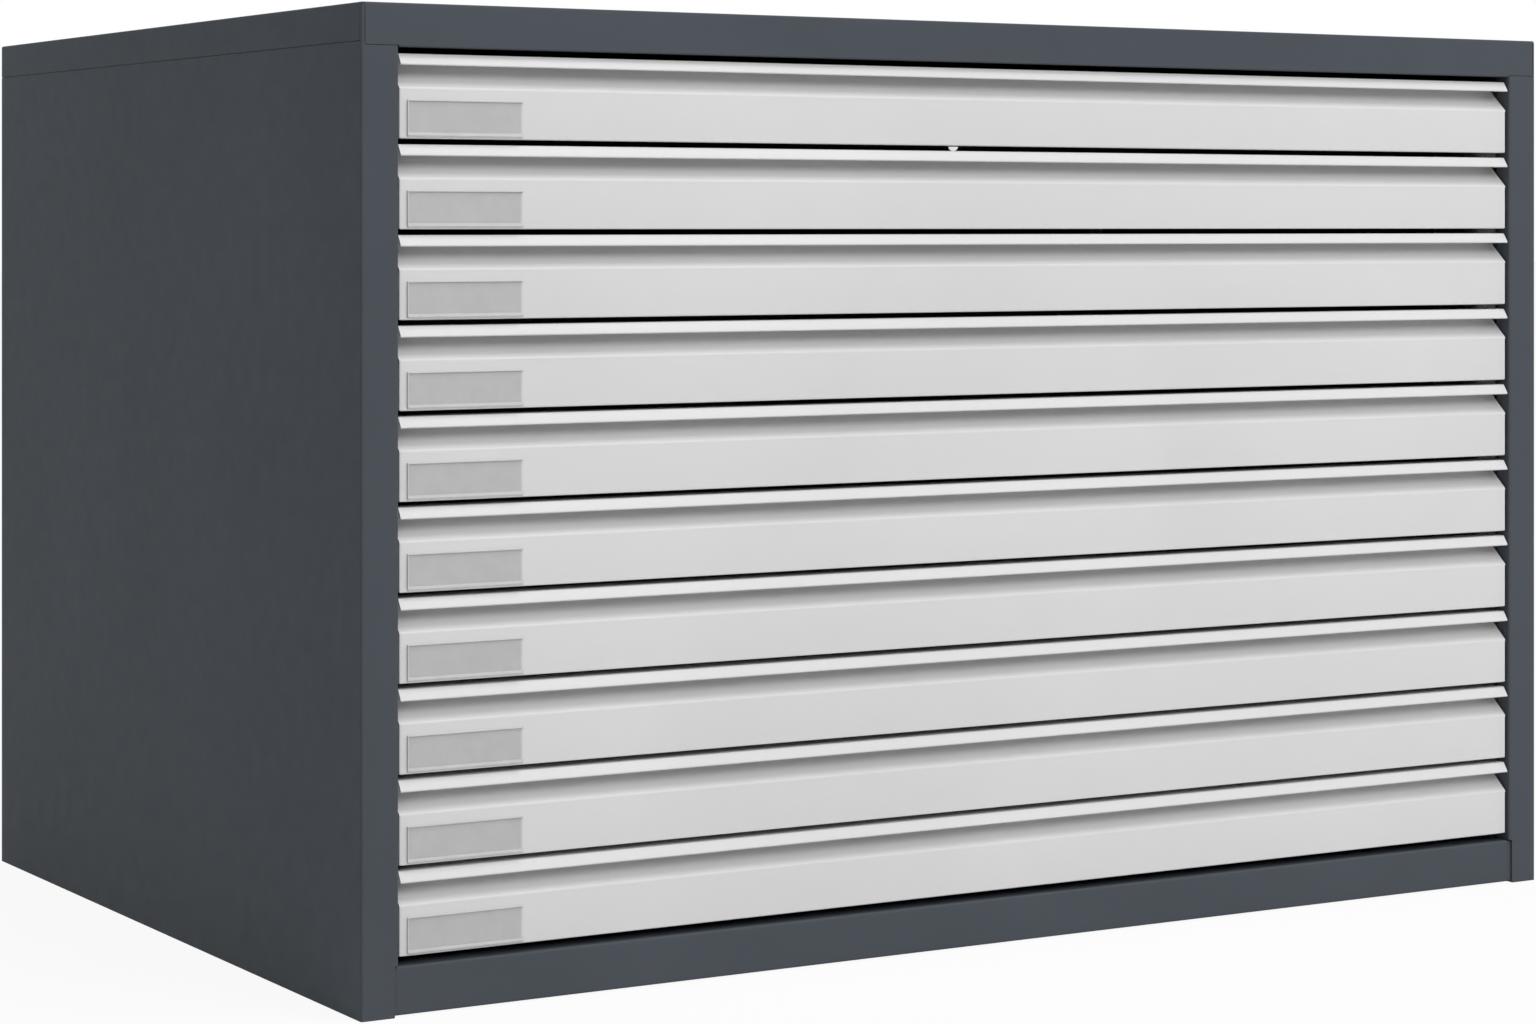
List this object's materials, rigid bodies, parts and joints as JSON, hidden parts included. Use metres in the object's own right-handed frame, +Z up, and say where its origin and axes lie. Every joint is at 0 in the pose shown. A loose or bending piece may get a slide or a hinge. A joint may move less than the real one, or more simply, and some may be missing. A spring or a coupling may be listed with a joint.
{
  "type": "filing cabinet",
  "caption": "Low, wide steel filing cabinet for large flat sheets, with a stack of shallow full-width grip-front drawers on telescopic ball slides.",
  "frame": {"origin": "on the floor under the middle of the cabinet's box", "axes": "+X to the right of someone facing the drawers, +Y from the drawer fronts to the back, +Z up; the drawers open towards -Y"},
  "size_m": [1.1, 0.765, 0.72],
  "materials": {
    "cabinet_paint": "fine-textured anthracite powder coat",
    "drawer_paint": "smooth light grey powder coat",
    "label_holder": "light grey label holder",
    "label_card": "blank grey card",
    "zinc_plate": "bright zinc plate",
    "white_nylon": "moulded white nylon"
  },
  "bodies": {
    "carcass": {"side_panel_left": "cabinet_paint", "side_panel_right": "cabinet_paint", "top_cover": "cabinet_paint", "back_panel": "cabinet_paint", "bottom_panel": "cabinet_paint", "bottom_rail": "cabinet_paint", "slide_uprights": "zinc_plate", "fixed_rails_left": "zinc_plate", "fixed_rails_right": "zinc_plate"},
    "drawer_01": {"drawer_01_front": "drawer_paint", "drawer_01_tray": "drawer_paint", "drawer_01_label_holder": "label_holder", "drawer_01_slide_inner": "zinc_plate", "stop_button": "white_nylon"},
    "drawer_01_middle": {"drawer_01_slide_middle": "zinc_plate"},
    "drawer_02": {"drawer_02_front": "drawer_paint", "drawer_02_tray": "drawer_paint", "drawer_02_label_holder": "label_holder", "drawer_02_slide_inner": "zinc_plate"},
    "drawer_02_middle": {"drawer_02_slide_middle": "zinc_plate"},
    "drawer_03": {"drawer_03_front": "drawer_paint", "drawer_03_tray": "drawer_paint", "drawer_03_label_holder": "label_holder", "drawer_03_slide_inner": "zinc_plate"},
    "drawer_03_middle": {"drawer_03_slide_middle": "zinc_plate"},
    "drawer_04": {"drawer_04_front": "drawer_paint", "drawer_04_tray": "drawer_paint", "drawer_04_label_holder": "label_holder", "drawer_04_slide_inner": "zinc_plate"},
    "drawer_04_middle": {"drawer_04_slide_middle": "zinc_plate"},
    "drawer_05": {"drawer_05_front": "drawer_paint", "drawer_05_tray": "drawer_paint", "drawer_05_label_holder": "label_holder", "drawer_05_slide_inner": "zinc_plate"},
    "drawer_05_middle": {"drawer_05_slide_middle": "zinc_plate"},
    "drawer_06": {"drawer_06_front": "drawer_paint", "drawer_06_tray": "drawer_paint", "drawer_06_label_holder": "label_holder", "drawer_06_slide_inner": "zinc_plate"},
    "drawer_06_middle": {"drawer_06_slide_middle": "zinc_plate"},
    "drawer_07": {"drawer_07_front": "drawer_paint", "drawer_07_tray": "drawer_paint", "drawer_07_label_holder": "label_holder", "drawer_07_slide_inner": "zinc_plate"},
    "drawer_07_middle": {"drawer_07_slide_middle": "zinc_plate"},
    "drawer_08": {"drawer_08_front": "drawer_paint", "drawer_08_tray": "drawer_paint", "drawer_08_label_holder": "label_holder", "drawer_08_slide_inner": "zinc_plate"},
    "drawer_08_middle": {"drawer_08_slide_middle": "zinc_plate"},
    "drawer_09": {"drawer_09_front": "drawer_paint", "drawer_09_tray": "drawer_paint", "drawer_09_label_holder": "label_holder", "drawer_09_slide_inner": "zinc_plate"},
    "drawer_09_middle": {"drawer_09_slide_middle": "zinc_plate"},
    "drawer_10": {"drawer_10_front": "drawer_paint", "drawer_10_tray": "drawer_paint", "drawer_10_label_holder": "label_holder", "drawer_10_slide_inner": "zinc_plate"},
    "drawer_10_middle": {"drawer_10_slide_middle": "zinc_plate"}
  },
  "joints": [
    {"name": "drawer_01_slide", "type": "slide", "parent": "carcass", "child": "drawer_01", "axis": [0, -1, 0], "range_m": [0, 0.64]},
    {"name": "drawer_01_middle_slide", "type": "slide", "parent": "carcass", "child": "drawer_01_middle", "axis": [0, -1, 0], "range_m": [0, 0.32]},
    {"name": "drawer_02_slide", "type": "slide", "parent": "carcass", "child": "drawer_02", "axis": [0, -1, 0], "range_m": [0, 0.64]},
    {"name": "drawer_02_middle_slide", "type": "slide", "parent": "carcass", "child": "drawer_02_middle", "axis": [0, -1, 0], "range_m": [0, 0.32]},
    {"name": "drawer_03_slide", "type": "slide", "parent": "carcass", "child": "drawer_03", "axis": [0, -1, 0], "range_m": [0, 0.64]},
    {"name": "drawer_03_middle_slide", "type": "slide", "parent": "carcass", "child": "drawer_03_middle", "axis": [0, -1, 0], "range_m": [0, 0.32]},
    {"name": "drawer_04_slide", "type": "slide", "parent": "carcass", "child": "drawer_04", "axis": [0, -1, 0], "range_m": [0, 0.64]},
    {"name": "drawer_04_middle_slide", "type": "slide", "parent": "carcass", "child": "drawer_04_middle", "axis": [0, -1, 0], "range_m": [0, 0.32]},
    {"name": "drawer_05_slide", "type": "slide", "parent": "carcass", "child": "drawer_05", "axis": [0, -1, 0], "range_m": [0, 0.64]},
    {"name": "drawer_05_middle_slide", "type": "slide", "parent": "carcass", "child": "drawer_05_middle", "axis": [0, -1, 0], "range_m": [0, 0.32]},
    {"name": "drawer_06_slide", "type": "slide", "parent": "carcass", "child": "drawer_06", "axis": [0, -1, 0], "range_m": [0, 0.64]},
    {"name": "drawer_06_middle_slide", "type": "slide", "parent": "carcass", "child": "drawer_06_middle", "axis": [0, -1, 0], "range_m": [0, 0.32]},
    {"name": "drawer_07_slide", "type": "slide", "parent": "carcass", "child": "drawer_07", "axis": [0, -1, 0], "range_m": [0, 0.64]},
    {"name": "drawer_07_middle_slide", "type": "slide", "parent": "carcass", "child": "drawer_07_middle", "axis": [0, -1, 0], "range_m": [0, 0.32]},
    {"name": "drawer_08_slide", "type": "slide", "parent": "carcass", "child": "drawer_08", "axis": [0, -1, 0], "range_m": [0, 0.64]},
    {"name": "drawer_08_middle_slide", "type": "slide", "parent": "carcass", "child": "drawer_08_middle", "axis": [0, -1, 0], "range_m": [0, 0.32]},
    {"name": "drawer_09_slide", "type": "slide", "parent": "carcass", "child": "drawer_09", "axis": [0, -1, 0], "range_m": [0, 0.64]},
    {"name": "drawer_09_middle_slide", "type": "slide", "parent": "carcass", "child": "drawer_09_middle", "axis": [0, -1, 0], "range_m": [0, 0.32]},
    {"name": "drawer_10_slide", "type": "slide", "parent": "carcass", "child": "drawer_10", "axis": [0, -1, 0], "range_m": [0, 0.64]},
    {"name": "drawer_10_middle_slide", "type": "slide", "parent": "carcass", "child": "drawer_10_middle", "axis": [0, -1, 0], "range_m": [0, 0.32]}
  ],
  "couplings": [
    {"joint": "drawer_01_middle_slide", "follows": "drawer_01_slide", "ratio": 0.5},
    {"joint": "drawer_02_middle_slide", "follows": "drawer_02_slide", "ratio": 0.5},
    {"joint": "drawer_03_middle_slide", "follows": "drawer_03_slide", "ratio": 0.5},
    {"joint": "drawer_04_middle_slide", "follows": "drawer_04_slide", "ratio": 0.5},
    {"joint": "drawer_05_middle_slide", "follows": "drawer_05_slide", "ratio": 0.5},
    {"joint": "drawer_06_middle_slide", "follows": "drawer_06_slide", "ratio": 0.5},
    {"joint": "drawer_07_middle_slide", "follows": "drawer_07_slide", "ratio": 0.5},
    {"joint": "drawer_08_middle_slide", "follows": "drawer_08_slide", "ratio": 0.5},
    {"joint": "drawer_09_middle_slide", "follows": "drawer_09_slide", "ratio": 0.5},
    {"joint": "drawer_10_middle_slide", "follows": "drawer_10_slide", "ratio": 0.5}
  ]
}
